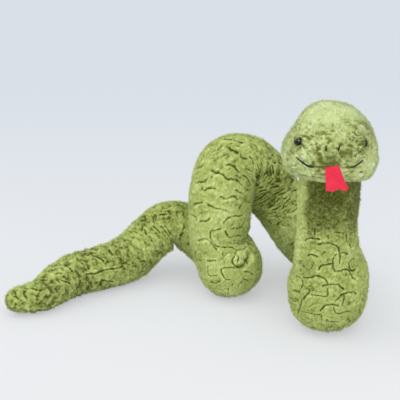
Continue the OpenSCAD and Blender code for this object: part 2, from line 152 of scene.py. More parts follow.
columnLine = dict(
    stations=[(-1.7, 0, 45, 43.9), (-0.2, -1.6, 66, 42.1), (-4.4, -4.8, 90.2, 35.4),
              (-5.3, -6.4, 118.5, 32.3), (-5.6, -7.2, 145.4, 32.6), (-5.4, -8, 191, 33.2)],
    # from station 2.8 up the tint darkens the neck, partly for the lie of its pile and partly as painted
    # shade under the head
    looks=[(0, 1, 0, 0.25, 0.15, -0.08), (2.2, 0.9, 0.15, 0.3, 0.2, -0.08), (2.8, 0.8, 0.2, 0.3, 0.2, -0.24),
           (3.3, 0.6, 0.25, 0.3, 0.2, -0.55), (4, 0.4, 0.3, 0.3, 0.2, -0.8), (5, 0.3, 0.3, 0.3, 0.2, -0.82)],
    # painted rim light that makes the left edge of the column paler, by station
    paintedRimLight=[(0, 0), (2, 0.3), (3.2, 1.05), (5, 1.3)],
    bendShare=0.66,     # the inside of a bend reaches this share of the way to its middle
)
rearLine = dict(
    stations=[(0, 0, 39.25, 39.75), (3.2, 41.8, 38.9, 39.4), (5.8, 82.1, 37, 37.5), (3.2, 115.9, 41, 36.2),
              (-14.8, 136.1, 54.6, 36.2), (-42.9, 144, 88.7, 33.4), (-67.4, 144, 120.9, 36.8),
              (-88.4, 138.2, 137.9, 39.6), (-106, 123.8, 137.9, 39.4), (-115, 106.9, 118.1, 37.5),
              (-117.4, 95.9, 88, 36.4), (-117, 91.2, 62, 34.4), (-105.4, 86, 37.2, 38.4)],
    looks=[(0, 0.8, 0.2, 0, 0, 0), (3, 0.2, 0.8, 0.2, 0.2, 0.2), (4.5, 0, 1, 0.5, 0.3, 0.36),
           (5.6, 0, 1, 0.6, 0.3, -0.44), (6.3, 0, 1, 0.6, 0.3, -0.25), (7.2, 0, 0.8, 0.4, 0.1, 0),
           (8.4, 0.1, 0.8, 0.4, 0, 0.08), (9.3, 0.6, 0.5, 0.3, 0, 0.14), (10, 1, 0.1, 0.1, 0, 0.16),
           (12, 1, 0, 0, 0, 0.12)],
    bendShare=0.58,
)
tailLine = dict(
    stations=[(-106, 86, 36.7, 37.2), (-109, 113.7, 36, 36.5), (-126.4, 140.1, 41.4, 32.6),
              (-151.6, 152, 56.2, 30), (-178, 152, 59.4, 29.6), (-200.8, 143.4, 45.6, 28.9),
              (-224.8, 124.4, 28, 28.8), (-252.4, 103.2, 25.8, 26.6), (-280, 87.6, 24.8, 25.9),
              (-301.6, 65.6, 22, 23.2), (-319.6, 40.6, 17.6, 19.4), (-344, 29.4, 17.4, 14.8)],
    looks=[(0, 0.8, 0.2, 0.1, 0.2, -0.1), (3, 0.2, 0.7, 0.3, 0.5, -0.04), (6, 0.2, 0.4, 0.3, 0.9, -0.26),
           (9, 0.1, 0.35, 0.4, 1.1, -0.28), (11, 0, 0.35, 0.4, 1.1, -0.26)],
    bendShare=0.66,
)
plush = dict(
    grid=0.8,           # spacing of the skin's vertices
    sink=1.7,           # the backing lies this far under the outline of the pile
    fineSteps=4000,     # steps in which a centreline is measured
    spotsEach=14,       # spots on a traced line for each of its points
    bendStride=0.35,    # stations either side from which a bend is taken
    bendSoft=2.2,
    pinched=(0.5, 1.05),        # shares of the bend's reach between which the pile gathers
    floorGap=0.25,
    tintShare=0.45,
    darkFrom=(0.2, 0.8),        # darker tints between which the pile lies smoother, as under the neck's painted shade
    calmDark=0.6,
    paintedShadeFront=(-0.75, -0.05),   # the neck's painted shade under the head fades from its front to its back
    # shares of facing left between which the neck's painted rim light comes in
    paintedRimFacing=(0.72, 0.96),
    paintedContactShade=0.5,
    contactShadeFrom=(7, 0.5),         # heights over the floor between which painted contact shade darkens the underside
    endRound=0.36,
    sharpAngle=75,
)


# Creases given one by one, each a row of points: the turn round the tube in degrees, then the run along it in
# millimetres
creases = dict(
    column=[
        (157, 68, 174, 70, 184, 69, 192, 67, 197, 63, 197, 59), (-160, 58, -153, 58, -144, 55),
        (-169, 58, -174, 55, -175, 50, -175, 45, -174, 41), (-162, 57, -161, 52, -164, 47),
        (-174, 41, -167, 40, -157, 40, -149, 38, -147, 34, -147, 29, -142, 27),
        (159, 44, 163, 47, 171, 48, 184, 49), (-126, 45, -136, 47, -142, 45, -145, 40, -143, 36, -137, 34),
        (135, 53, 142, 56, 150, 56, 156, 55), (128, 33, 138, 35, 148, 37, 159, 38, 168, 36, 171, 32, 172, 29),
        (163, 27, 170, 29, 177, 29, 185, 28, 192, 24, 195, 21), (-164, 16, -159, 17, -150, 16, -144, 14),
        (-165, 16, -164, 10, -165, 3), (-167, 16, -171, 12, -176, 7), (148, 10, 155, 11, 162, 12, 170, 12),
        (171, 25, 171, 18, 170, 12), (138, 18, 144, 14, 141, 8, 136, 2),
        (165, -5, 168, 0, 174, 3, 182, 3, 189, 2), (-177, 0, -173, -5, -166, -7, -157, -5, -149, -7),
        (106, 28, 117, 31, 126, 29, 129, 21, 128, 10, 126, 5), (109, 2, 120, 5, 127, 5),
        (106, -22, 130, -14, 145, -12, 165, -10, 167, -15, 174, -18), (134, 0, 130, -12, 117, -30),
        (174, -16, 186, -18, 199, -19), (-110, 12, -124, 12, -131, 7, -142, 1), (149, 84, 148, 78),
        (-171, 82, -162, 81, -152, 79), (-147, 81, -146, 76, -146, 70), (125, 68, 138, 72, 152, 74, 158, 73),
        (96, 70, 106, 76, 123, 80), (-139, 65, -133, 60, -135, 54),
    ],
    rear=[
        (115, 298, 92, 299, 81, 299, 75, 296), (72, 279, 62, 279, 53, 278, 45, 277, 36, 276),
        (52, 284, 41, 284, 32, 284, 26, 284), (31, 295, 24, 294, 15, 295, 7, 297),
        (58, 302, 47, 303, 37, 303, 30, 304, 24, 306, 13, 305, 3, 305, -7, 307), (22, 283, 15, 284, 8, 282),
        (10, 278, 1, 277, -9, 279), (-1, 290, -9, 288, -16, 285), (90, 312, 79, 311, 68, 311, 59, 309),
        (31, 321, 21, 322, 12, 320, 5, 319, -3, 321), (88, 329, 75, 328, 66, 327),
        (56, 327, 47, 330, 38, 331, 28, 332, 19, 333, 12, 335), (-3, 297, -13, 298, -25, 300),
        (63, 317, 52, 315, 41, 315), (6, 313, -4, 314, -11, 315), (-34, 230, -27, 227, -20, 224),
        (-40, 221, -28, 218, -12, 216), (-58, 248, -50, 244, -44, 239), (-64, 237, -53, 236, -43, 232),
        (-78, 228, -66, 227, -52, 228), (-75, 220, -62, 219, -50, 220), (-9, 273, -17, 271, -25, 271),
        (-1, 246, -7, 243, -12, 239), (-30, 215, -16, 211, -1, 210), (-61, 203, -50, 201, -42, 201),
        (6, 338, -13, 338, -22, 335), (6, 338, 16, 341, 21, 345), (102, 339, 84, 341, 79, 345),
        (70, 345, 55, 344, 48, 341), (46, 360, 46, 354, 38, 352, 28, 351),
        (18, 352, 15, 355, 7, 359, -6, 358, -21, 359), (75, 363, 60, 361, 51, 362, 43, 366, 36, 372),
        (46, 360, 35, 368, 21, 372, 6, 376, -2, 383, -16, 387, -24, 386),
        (-2, 383, 8, 387, 17, 391, 18, 397, 11, 401), (7, 385, 4, 391, 9, 394), (62, 381, 46, 383),
        (43, 394, 45, 399, 43, 407, 36, 410), (67, 386, 74, 397, 55, 400), (42, 394, 30, 396, 21, 399),
        (5, 408, -4, 412, -11, 417), (79, 415, 66, 419, 49, 420, 62, 429),
    ],
    tail=[
        (-64, 250, -68, 243, -67, 235, -65, 227, -67, 220, -69, 214, -68, 208),
        (-18, 237, -23, 233, -31, 230, -40, 227), (-40, 129, -51, 128, -71, 127, -87, 128),
        (-43, 125, -60, 123, -79, 118), (-27, 137, -42, 136, -53, 136), (-19, 149, -30, 152),
        (8, 201, -8, 198), (-13, 124, -18, 120), (-12, 216, -29, 215),
        (-102, 240, -92, 234, -98, 226, -110, 218), (-1, 254, -19, 256, -31, 254), (-18, 290, -26, 286),
        (-10, 281, -22, 280), (-24, 273, -36, 272), (-56, 276, -67, 274), (-45, 292, -57, 288, -66, 283),
        (-49, 266, -65, 267), (2, 332, -12, 328), (-16, 322, -30, 320), (-32, 345, -49, 341),
        (13, 308, -10, 304), (-20, 235, -30, 230, -42, 227), (-63, 256, -68, 246),
    ],
)
folds = dict(rear=[(11, 401, 2, 401, -10, 398, -20, 395)])


def curvePoint(stations, u):
    # smooth curve through the stations, drawn on straight past both ends
    rows = np.array(stations, float)
    rows = np.vstack([2 * rows[0] - rows[1], rows, 2 * rows[-1] - rows[-2]])
    i = np.clip(np.floor(u), 0, len(stations) - 2).astype(int)
    t = (u - i)[:, None]
    a, b, c, d = rows[i], rows[i + 1], rows[i + 2], rows[i + 3]
    return 0.5 * (2 * b + (c - a) * t + (2 * a - 5 * b + 4 * c - d) * t * t + (3 * b - a - 3 * c + d) * t**3)


def spotsAlong(row):
    line = np.reshape(row, (-1, 2))
    return curvePoint(line, np.linspace(0, len(line) - 1, plush["spotsEach"] * len(line))).T


def headings(stations, u):
    stride = plush["bendStride"]
    return unit(curvePoint(stations, u + stride)[:, :3] - curvePoint(stations, u - stride)[:, :3])


def layRoute(line):
    # even rings along a centreline, each with its directions, radius and how it bends
    stations = line["stations"]
    fine = np.linspace(0, len(stations) - 1, plush["fineSteps"])
    p = curvePoint(stations, fine)
    run = np.concatenate([[0], np.cumsum(np.linalg.norm(np.diff(p[:, :3], axis=0), axis=1))])
    s = np.linspace(0, run[-1], int(run[-1] / plush["grid"]) + 1)
    u = np.interp(s, run, fine)
    p = curvePoint(stations, u)
    way = headings(stations, u)
    side = np.zeros_like(way)
    climbs = abs(way[0, 2]) >= 0.8      # then the first side points back, and otherwise up
    last = np.array([0, 1.0, 0]) if climbs else np.array([0, 0, 1.0])
    for i, w in enumerate(way):
        last = unit(last - (last @ w) * w)
        side[i] = last
    low = np.maximum(u - plush["bendStride"], 0)
    high = np.minimum(u + plush["bendStride"], len(stations) - 1)
    turn = headings(stations, high) - headings(stations, low)
    chord = np.linalg.norm(curvePoint(stations, high)[:, :3] - curvePoint(stations, low)[:, :3], axis=1)
    bend = np.maximum(np.linalg.norm(turn, axis=1), 1e-3)
    return dict(line=line, s=s, u=u, centre=p[:, :3] + baseMiddle, radius=p[:, 3] - plush["sink"], way=way,
                side=side, over=np.cross(way, side), inner=unit(turn), curl=bend / chord)


def awayFromCreases(q, route, lines):
    # distance from creases on the tube; past a round end they close in on its middle
    spots = []
    for line in lines:
        turn, run = spotsAlong(line)
        radius = np.interp(run, route["s"], route["radius"])
        past = np.abs(run - np.clip(run, 0, route["s"][-1])) / radius
        radius = radius * (1 - np.minimum(past, 0.99) ** 2) ** plush["endRound"]
        turn = np.radians(turn)
        spots.append(np.stack([np.cos(turn) * radius, np.sin(turn) * radius, run], 1))
    return nearestOf(np.concatenate(spots), q)


# What a line does to the pile, seen across it: a step (height, softness, reach) where one side lies over the
# other, then humps (distance from the line, width, amount) of height and of tone. Negative tones are painted
# shade in and beside the lines, positive ones painted light on their raised edges and ridges.
lineKinds = dict(
    crease=(None, [(0, 0.9, -1.2)], [(2, 1, 0.4), (0, 1, -1.25)]),
    fold=(None, [(0, 3, -4.5)], [(0, 2.2, -1.2)]),
    parting=((0.5, 0.8, 6), [(0, 0.8, -1)], [(1.7, 1, 0.35), (0, 0.75, -1.1)]),
    stroke=((0.4, 1.2, 4), [(0, 0.9, -1.1)], [(2, 1.2, 0.4), (0, 1.05, -0.95)]),
    swirl=(None, [(0, 0.9, 0.5), (1.8, 0.9, -0.2)], [(0, 0.8, 0.45), (1.8, 0.9, -0.25)]),
    ridge=(None, [(0, 1.1, 1)], [(0, 1.1, 1.1), (2.1, 1, -0.385)]),
    faceCrease=(None, [(0, 0.9, -0.9)], [(0, 0.9, -0.9), (2.1, 1, 0.315)]),
    seam=(None, [(0, 1.1, -1.2)], [(0, 1.1, -0.6)]),
    thread=(None, [(0, 1.5, -0.5)], []),
    socket=(None, [(0, 4.2, -1.6)], [(0, 5, -0.5)]),
)

# Unevenness of the pile: size of the noise, then size and amount of its drift, the seeds of both after the
# piece's own, height and tone. Where a kind has both, the tone goes with the height: painted light on the
# raised parts and painted shade in the hollows. Patches have tone alone, tone that differs at random.
bumpKinds = dict(
    filling=(34, None, 0, 0, 0, 1.3, 0),
    patches=(19, None, 0, 0, 17, 0, 0.35),
    ripples=((13, 13, 3.6), 16, 5, 4, 6, 1.7, 1.1),
    lumps=((6.5, 6.5, 5), 8, 2.4, 7, 8, 1.8, 0.9),
    gathers=((30, 30, 7), None, 0, 0, 11, 2.2, 1.2),
    grain=(2.6, 5, 1.2, 12, 13, 0.5, 0.7),
    headFilling=(26, None, 0, 0, 0, 0.9, 0),
    headPatches=(18, None, 0, 0, 17, 0, 0.3),
    headWaves=((5, 5, 2.8), 9, 2.5, 40, 43, 0.9, 0.6),
    headGrain=(2.6, 5, 1.2, 12, 13, 0.3, 1),
    chinFolds=((14, 14, 3), None, 0, 0, 60, 0.8, 0.5),
)

carving = dict(
    midTone=0.55, toneSpread=0.45,      # tone of level pile, and how far the rest spreads from it
    lineDrift=(4.5, 0.9),               # traced lines drift: over how much, and how far
    foldDrift=(6, 1.5),
    besideCrease=(3, 10),               # partings come in between these distances from a crease
    cells=(17, 17, 11.5), cellDrifts=((12, 3.4), (4.5, 1.1)), leastParting=0.02,
    cellPatch=15, cellShown=(-0.3, -0.12),      # partings show in patches of this size
    strokes=((22, 22, 6.6), (15, 15, 4.8)), strokePatch=(8, 8, 6), strokeShown=(0.02, 0.2),
    strokeSlant=0.3, strokeSway=(28, 7), strokeDrift=(8, 2.2), besideStroke=(1, 4),
    # painted shade on the inside of a bend
    paintedBendShade=0.35,
)


def lineForm(away, kind):
    # height and tone at these distances from a line
    step, *rows = lineKinds[kind]
    form = np.zeros((2, len(away)))
    for values, row in zip(form, rows):
        for at, wide, amount in row:
            values += amount * hump(away - at, wide)
    if step:
        high, soft, reach = step
        form[0] += high * np.tanh(away / soft) * hump(away, reach)
    return form


def bumpForm(p, kind, seed):
    # height and tone of one sort of unevenness
    size, drift, amount, driftSeed, ownSeed, high, shade = bumpKinds[kind]
    if drift:
        p = wander(p, drift, amount, seed + driftSeed)
    n = softNoise(p / size, seed + ownSeed)
    return np.stack([high * n, shade * n])


def toned(tone):
    return np.clip(carving["midTone"] + carving["toneSpread"] * tone, 0, 1)


def sculptPile(q, u, route, name, pinch, seed):
    # height in millimetres, tone from 0 in a parting to 1 on a crest, with painted shade in partings and
    # creases and painted light on crests, and tint to add to it
    stations, *shares = (np.array(column, float) for column in zip(*route["line"]["looks"]))
    partings, strokes, ripples, tufts, tint = (np.interp(u, stations, column) for column in shares)
    form = bumpForm(q, "filling", seed) + bumpForm(q, "patches", seed)

    # the listed creases, and away from them partings between scattered cells, one lying over the next
    traced = awayFromCreases(wander(q, *carving["lineDrift"], seed + 5), route, creases[name])
    form += lineForm(traced, "crease")
    if name in folds:
        away = awayFromCreases(wander(q, *carving["foldDrift"], seed + 5), route, folds[name])
        form += lineForm(away, "fold")
    free = smoothStep(*carving["besideCrease"], traced)
    near = np.flatnonzero(partings * free > carving["leastParting"])
    wide, fine = carving["cellDrifts"]
    away = cellEdges(wander(wander(q[near], *wide, seed + 1), *fine, seed + 5), carving["cells"], seed + 10)
    shown = smoothStep(*carving["cellShown"], softNoise(q[near] / carving["cellPatch"], seed + 9))
    form[:, near] += partings[near] * free[near] * shown * lineForm(away, "parting")

    # strokes: short wrinkles across the tube, slanted a little, darkened with painted shade
    leaned = q * 1.0
    size, amount = carving["strokeSway"]
    leaned[:, 2] += carving["strokeSlant"] * q[:, 0] + amount * softNoise(q / size, seed + 18)
    for size, k in zip(carving["strokes"], (50, 60)):
        away = awayFromLines(wander(leaned, *carving["strokeDrift"], seed + k), size, seed + k + 2)
        shown = smoothStep(*carving["strokeShown"], softNoise(q / carving["strokePatch"], seed + k + 6))
        form += strokes * shown * smoothStep(*carving["besideStroke"], traced) * lineForm(away, "stroke")

    form += ripples * bumpForm(leaned, "ripples", seed)
    form += tufts * bumpForm(q, "lumps", seed)
    # the pile gathered on the inside of a bend, darkened there with painted shade
    form += pinch * bumpForm(q, "gathers", seed)
    form[1] -= pinch * carving["paintedBendShade"]
    form += bumpForm(q, "grain", seed)
    return form[0], toned(form[1]), tint


def asMesh(bm, name):
    mesh = bpy.data.meshes.new(name)
    bm.to_mesh(mesh)
    bm.free()
    return mesh


def placesOf(mesh):
    place = np.zeros(len(mesh.vertices) * 3)
    mesh.vertices.foreach_get("co", place)
    return place.reshape(-1, 3)


def moveTo(mesh, place):
    mesh.vertices.foreach_set("co", (place * mm).ravel())


def keepOn(mesh, **fields):
    # values that the pile and the shaders read from the skin
    for name, values in fields.items():
        kind, key = ("FLOAT_VECTOR", "vector") if values.ndim == 2 else ("FLOAT", "value")
        attribute = mesh.attributes.new(name, kind, "POINT")
        attribute.data.foreach_set(key, values.astype(np.float32).ravel())


def readFrom(mesh, name):
    attribute = mesh.attributes[name]
    if attribute.data_type == "FLOAT_VECTOR":
        values = np.zeros(len(mesh.vertices) * 3)
        attribute.data.foreach_get("vector", values)
        return values.reshape(-1, 3)
    values = np.zeros(len(mesh.vertices))
    attribute.data.foreach_get("value", values)
    return values


def linkNew(name, mesh, material):
    mesh.materials.append(material)
    piece = bpy.data.objects.new(name, mesh)
    bpy.context.scene.collection.objects.link(piece)
    return piece


def endRows(radius, kind, outward):
    # (share of the radius, distance past the last ring, roundness) for the rows that close a skin;
    # kind is "inner" for an end inside the next skin, or a number for a round end, lower for a squarer one
    if kind == "inner":
        return [(0.93, -outward * 1.5, 0), (0.5, -outward * 2.5, 0), (0, -outward * 3, 0)]
    n = int(radius * math.pi / 2 / plush["grid"])
    turn = np.linspace(0, math.pi / 2, n + 1)[1:]
    return [(max(math.cos(a), 0) ** kind, outward * radius * math.sin(a), math.sin(a)) for a in turn]


def rollSkin(name, skin, material, seed):
    # a flat grid rolled up along the route, closed at both ends, with its pile pressed and raised
    route = routes[skin["route"]]
    line = route["line"]
    first, last = np.searchsorted(route["u"], [skin["start"], skin["end"] - 1e-9])
    before = endRows(route["radius"][first], skin["ends"][0], -1)[::-1]
    after = endRows(route["radius"][last], skin["ends"][1], 1)
    rows = [(first, *row, 1) for row in before]
    rows += [(i, 1, 0, 0, 0) for i in range(first, last + 1)]
    rows += [(last, *row, 1) for row in after]
    index, share, past, ball, isEnd = (np.array(c) for c in zip(*rows))
    sides = int(2 * math.pi * route["radius"][first:last + 1].max() / plush["grid"])

    bm = bmesh.new()
    bmesh.ops.create_grid(bm, x_segments=sides, y_segments=len(rows) - 1, size=1)
    mesh = asMesh(bm, name)
    flat = placesOf(mesh)
    angle = (flat[:, 0] + 1) * math.pi
    row = np.rint((flat[:, 1] + 1) / 2 * (len(rows) - 1)).astype(int)
    k, past, ball, isEnd = index[row], past[row], ball[row][:, None], isEnd[row]
    way, inner = route["way"][k], route["inner"][k]
    around = np.cos(angle)[:, None] * route["side"][k] + np.sin(angle)[:, None] * route["over"][k]
    radius = route["radius"][k] * share[row]
    q = np.stack([np.cos(angle) * radius, np.sin(angle) * radius, route["s"][k] + past], 1)

    # the inside of a bend is pressed flat instead of passing its middle
    offset = around * radius[:, None]
    reach = line["bendShare"] / route["curl"][k]
    toInner = (offset * inner).sum(1)
    pinch = smoothStep(*plush["pinched"], toInner / reach) * (1 - isEnd)
    soft = plush["bendSoft"]
    pressed = -soft * np.logaddexp(-toInner / soft, -reach / soft)
    near = (toInner > 0) & (toInner > reach - 4 * soft)
    offset += inner * np.where(near, pressed - toInner, 0)[:, None]

    height, rise, tint = sculptPile(q, route["u"][k], route, skin["route"], pinch, seed)
    # on the column the tint's painted shade under the head is kept to the front of the neck
    if "paintedRimLight" in line:
        stations, pale = zip(*line["paintedRimLight"])
        tint = tint * smoothStep(*plush["paintedShadeFront"], -around[:, 1])
        # painted rim light makes the left edge of the column paler
        tint = tint + np.interp(route["u"][k], stations, pale) * smoothStep(*plush["paintedRimFacing"], -around[:, 0])
    covered = (isEnd == 0)[:, None] | (ball > 0)
    rounded = unit(around * (1 - ball) ** 0.5 + np.sign(past)[:, None] * ball * way)
    outward = np.where((isEnd == 0)[:, None], around, rounded)
    place = route["centre"][k] + offset + way * past[:, None]
    place += outward * (height[:, None] * covered)
    place[:, 2] = np.maximum(place[:, 2], plush["floorGap"])
    # the pile lies calmer under deep tints, and the tint, with the neck's painted shade, is added to the tone
    calm = 1 - plush["calmDark"] * smoothStep(*plush["darkFrom"], -tint)
    tone = carving["midTone"] + (rise - carving["midTone"]) * calm + plush["tintShare"] * tint
    # painted contact shade darkens the pile close to the floor
    tone = np.clip(tone - plush["paintedContactShade"] * smoothStep(*plush["contactShadeFrom"], place[:, 2]), 0, 1)
    moveTo(mesh, place)
    keepOn(mesh, tone=tone, rise=rise, nap=q * mm, outward=outward * covered)

    bm = bmesh.new()
    bm.from_mesh(mesh)
    bmesh.ops.remove_doubles(bm, verts=bm.verts, dist=1e-6)
    bmesh.ops.recalc_face_normals(bm, faces=bm.faces)
    bm.to_mesh(mesh)
    bm.free()
    mesh.shade_smooth()
    mesh.set_sharp_from_angle(angle=math.radians(plush["sharpAngle"]))
    return linkNew(name, mesh, material)


# Tufts of the pile: one three-sided cone, copied over a skin
pile = dict(
    perSquare=1.0,      # tufts on a square millimetre
    length=2.7,
    lengths=(0.6, 0.6, 0.6, 8),     # least share, spread, and spread and power of the few long ones
    inParting=(0.35, 0.12, 0.45),   # least share in a parting, and the tones between which it grows
    least=0.9,          # shorter tufts are left out
    leastTone=0.14,
    leastRoot=0.9,      # height over the floor
    leastTip=0.3,
    width=0.62,
    widths=(0.75, 1.2),
    sunk=0.5,
    lean=0.75,
    lessLean=0.7,       # beside a parting
    drift=15,           # millimetres over which the lean changes
    sway=2.2,
    stray=0.25,
    droop=(0, 0, -0.35),
    parted=1.0,         # how far a tuft leans away from a parting
    leastArea=0.02,
    # painted shade at the root of each tuft and painted light at its tip
    paintedRootShade=0.2,
    paintedTipLight=0.2,
    mixed=0.11,         # spread of the tone from tuft to tuft
)


def tuftShape():
    bm = bmesh.new()
    bmesh.ops.create_cone(bm, cap_ends=True, segments=3, radius1=0.5, radius2=0, depth=1)
    bmesh.ops.translate(bm, verts=bm.verts, vec=(0, 0, 0.5))
    bmesh.ops.remove_doubles(bm, verts=bm.verts, dist=1e-4)
    bmesh.ops.recalc_face_normals(bm, faces=bm.faces)
    corners = np.array([v.co for v in bm.verts])
    faces = np.array([[v.index for v in face.verts] for face in bm.faces])
    bm.free()
    return corners, faces


tuftCorners, tuftFaces = tuftShape()


def growPile(name, skin, material, seed, groom=None):
    mesh = skin.data
    place = placesOf(mesh) / mm
    tone, rise, nap, outward = (readFrom(mesh, field) for field in ("tone", "rise", "nap", "outward"))
    mesh.calc_loop_triangles()
    corners = np.zeros(len(mesh.loop_triangles) * 3, np.int32)
    mesh.loop_triangles.foreach_get("vertices", corners)
    a, b, c = corners.reshape(-1, 3).T
    ab, ac = place[b] - place[a], place[c] - place[a]
    area = np.linalg.norm(np.cross(ab, ac), axis=1) / 2
    area *= (np.linalg.norm(outward[a], axis=1) > 0.5)      # nothing grows on the ends inside other skins

    draw = np.random.default_rng(seed)
    count = int(area.sum() * pile["perSquare"])
    pick = np.searchsorted(np.cumsum(area), draw.random(count) * area.sum())
    share = draw.random((count, 2))
    share = np.where(share.sum(1, keepdims=True) > 1, 1 - share, share)
    a, b, c, ab, ac = a[pick], b[pick], c[pick], ab[pick], ac[pick]
    root = place[a] + share[:, :1] * ab + share[:, 1:] * ac
    across = np.maximum(area[pick], pile["leastArea"])[:, None] * 2
    apart = ((rise[b] - rise[a])[:, None] * ab + (rise[c] - rise[a])[:, None] * ac) / across * pile["parted"]
    apart /= np.maximum(np.linalg.norm(apart, axis=1, keepdims=True), 1)
    own = (tone[a] + tone[b] + tone[c]) / 3
    risen = (rise[a] + rise[b] + rise[c]) / 3
    out = unit(outward[a])
    flow = pile["sway"] * driftOf(nap[a] / mm, pile["drift"], seed + 31) + pile["droop"]
    flow += pile["stray"] * draw.standard_normal((count, 3))
    flow -= (flow * out).sum(1, keepdims=True) * out
    strength = np.linalg.norm(apart, axis=1, keepdims=True)
    way = unit(out + flow * pile["lean"] * (1 - pile["lessLean"] * strength) + apart)
    least, spread, more, power = pile["lengths"]
    long = pile["length"] * (least + spread * draw.random(count) + more * draw.random(count) ** power)
    least, low, high = pile["inParting"]
    long *= least + (1 - least) * smoothStep(low, high, risen)
    if groom:
        way, long = groom(root, way, long)
    tipHeight = (root + way * long[:, None])[:, 2]
    kept = (long > pile["least"]) & (risen > pile["leastTone"])
    kept &= (root[:, 2] > pile["leastRoot"]) & (tipHeight > pile["leastTip"])
    root, way, out, long, own, spot = (v[kept] for v in (root, way, out, long, own, nap[a]))
    count = len(root)

    side = unit(np.cross(way, draw.standard_normal((count, 3))))
    over = np.cross(way, side)
    wide = pile["width"] * draw.uniform(*pile["widths"], count)
    x, y, z = tuftCorners.T
    across = wide[:, None, None] * (x[None, :, None] * side[:, None] + y[None, :, None] * over[:, None])
    along = z[None, :, None] * (long[:, None] * way)[:, None]
    points = (root - out * pile["sunk"])[:, None] + across + along
    # each tuft takes the skin's tone, with painted shade at its root, painted light at its tip, and some tone
    # at random
    shade = own[:, None] + np.where(z > 0.5, pile["paintedTipLight"], -pile["paintedRootShade"])[None]
    shade = np.clip(shade + pile["mixed"] * draw.standard_normal((count, 1)), 0, 1)
    loops = (tuftFaces[None] + (np.arange(count) * len(tuftCorners))[:, None, None]).reshape(-1)

    tufts = bpy.data.meshes.new(name)
    tufts.vertices.add(count * len(tuftCorners))
    tufts.loops.add(len(loops))
    tufts.polygons.add(count * len(tuftFaces))
    moveTo(tufts, points)
    tufts.loops.foreach_set("vertex_index", loops.astype(np.int32))
    tufts.polygons.foreach_set("loop_start", np.arange(0, len(loops), 3, dtype=np.int32))
    tufts.update(calc_edges=True)
    tufts.shade_smooth()
    keepOn(tufts, tone=shade.ravel(), nap=np.repeat(spot, len(tuftCorners), axis=0))
    for field in ("outward", "rise"):
        mesh.attributes.remove(mesh.attributes[field])
    return linkNew(name, tufts, material)


# Materials
def addNode(tree, kind, **settings):
    node = tree.nodes.new(kind)
    for key, value in settings.items():
        if key in node.bl_rna.properties:
            setattr(node, key, value)
        else:
            node.inputs[key.replace("_", " ")].default_value = value
    return node


def scaled(tree, source, factor, shift):
    node = addNode(tree, "ShaderNodeMath", operation="MULTIPLY_ADD")
    node.inputs[1].default_value, node.inputs[2].default_value = factor, shift
    tree.links.new(source, node.inputs[0])
    return node.outputs[0]


def joined(tree, one, other, **settings):
    node = addNode(tree, "ShaderNodeMath", **settings)
    tree.links.new(one, node.inputs[0])
    tree.links.new(other, node.inputs[1])
    return node.outputs[0]


def eased(tree, source, low, high):
    node = addNode(tree, "ShaderNodeMapRange", interpolation_type="SMOOTHSTEP", From_Min=low, From_Max=high)
    tree.links.new(source, node.inputs["Value"])
    return node.outputs["Result"]


def blended(tree, factor, low, high):
    # low and high are colours, or the sockets that give them
    node = addNode(tree, "ShaderNodeMix", data_type="RGBA")
    tree.links.new(factor, node.inputs["Factor"])
    for socket, colour in ((node.inputs[6], low), (node.inputs[7], high)):
        if isinstance(colour, tuple):
            socket.default_value = colour
        else:
            tree.links.new(colour, socket)
    return node.outputs[2]


def roughen(tree, shader, height, strength, distance):
    bump = addNode(tree, "ShaderNodeBump", Strength=strength, Distance=distance)
    tree.links.new(height, bump.inputs["Height"])
    tree.links.new(bump.outputs["Normal"], shader.inputs["Normal"])


def pileGroup():
    # colour and height of plush pile from the tone that the skin carries, whose low end holds painted shade
    # and whose high end painted light
    tree = bpy.data.node_groups.new("plushPile", "ShaderNodeTree")
    taken = dict(Tone="Float", Nap="Vector", Deep="Color", Middle="Color", Crest="Color")
    for name, kind in (*taken.items(), ("Pile Scale", "Float")):
        tree.interface.new_socket(name=name, in_out="INPUT", socket_type="NodeSocket" + kind)
    for name, kind in (("Color", "Color"), ("Height", "Float")):
        tree.interface.new_socket(name=name, in_out="OUTPUT", socket_type="NodeSocket" + kind)
    given, made = addNode(tree, "NodeGroupInput").outputs, addNode(tree, "NodeGroupOutput").inputs
    broad = addNode(tree, "ShaderNodeTexNoise", Scale=32, Detail=2)
    fine = addNode(tree, "ShaderNodeTexNoise", Detail=3, Roughness=0.6)
    for noise in (broad, fine):
        tree.links.new(given["Nap"], noise.inputs["Vector"])
    tree.links.new(given["Pile Scale"], fine.inputs["Scale"])
    broadTone = scaled(tree, broad.outputs["Fac"], factor=0.3, shift=-0.15)
    fineTone = scaled(tree, fine.outputs["Fac"], factor=0.4, shift=-0.2)
    total = joined(tree, broadTone, fineTone, operation="ADD")
    tone = joined(tree, total, given["Tone"], operation="ADD", use_clamp=True)
    middle = blended(tree, eased(tree, tone, low=0.05, high=0.55), given["Deep"], given["Middle"])
    colour = blended(tree, eased(tree, tone, low=0.5, high=1), middle, given["Crest"])
    tree.links.new(colour, made["Color"])
    tree.links.new(fine.outputs["Fac"], made["Height"])
    return tree


plushPile = pileGroup()


def linear(*levels):
    # a colour given in levels of 0 to 255, as the shaders want it
    shares = (level / 255 for level in levels)
    return (*(c / 12.92 if c <= 0.04 else ((c + 0.055) / 1.055) ** 2.4 for c in shares), 1)


def newMaterial(name, roughness, specular):
    material = bpy.data.materials.new(name)
    material.use_nodes = True
    shader = material.node_tree.nodes["Principled BSDF"]
    shader.inputs["Roughness"].default_value = roughness
    shader.inputs["Specular IOR Level"].default_value = specular
    return material, material.node_tree, shader


def giveSheen(shader, weight, roughness, tint):
    shader.inputs["Sheen Weight"].default_value = weight
    shader.inputs["Sheen Roughness"].default_value = roughness
    shader.inputs["Sheen Tint"].default_value = tint


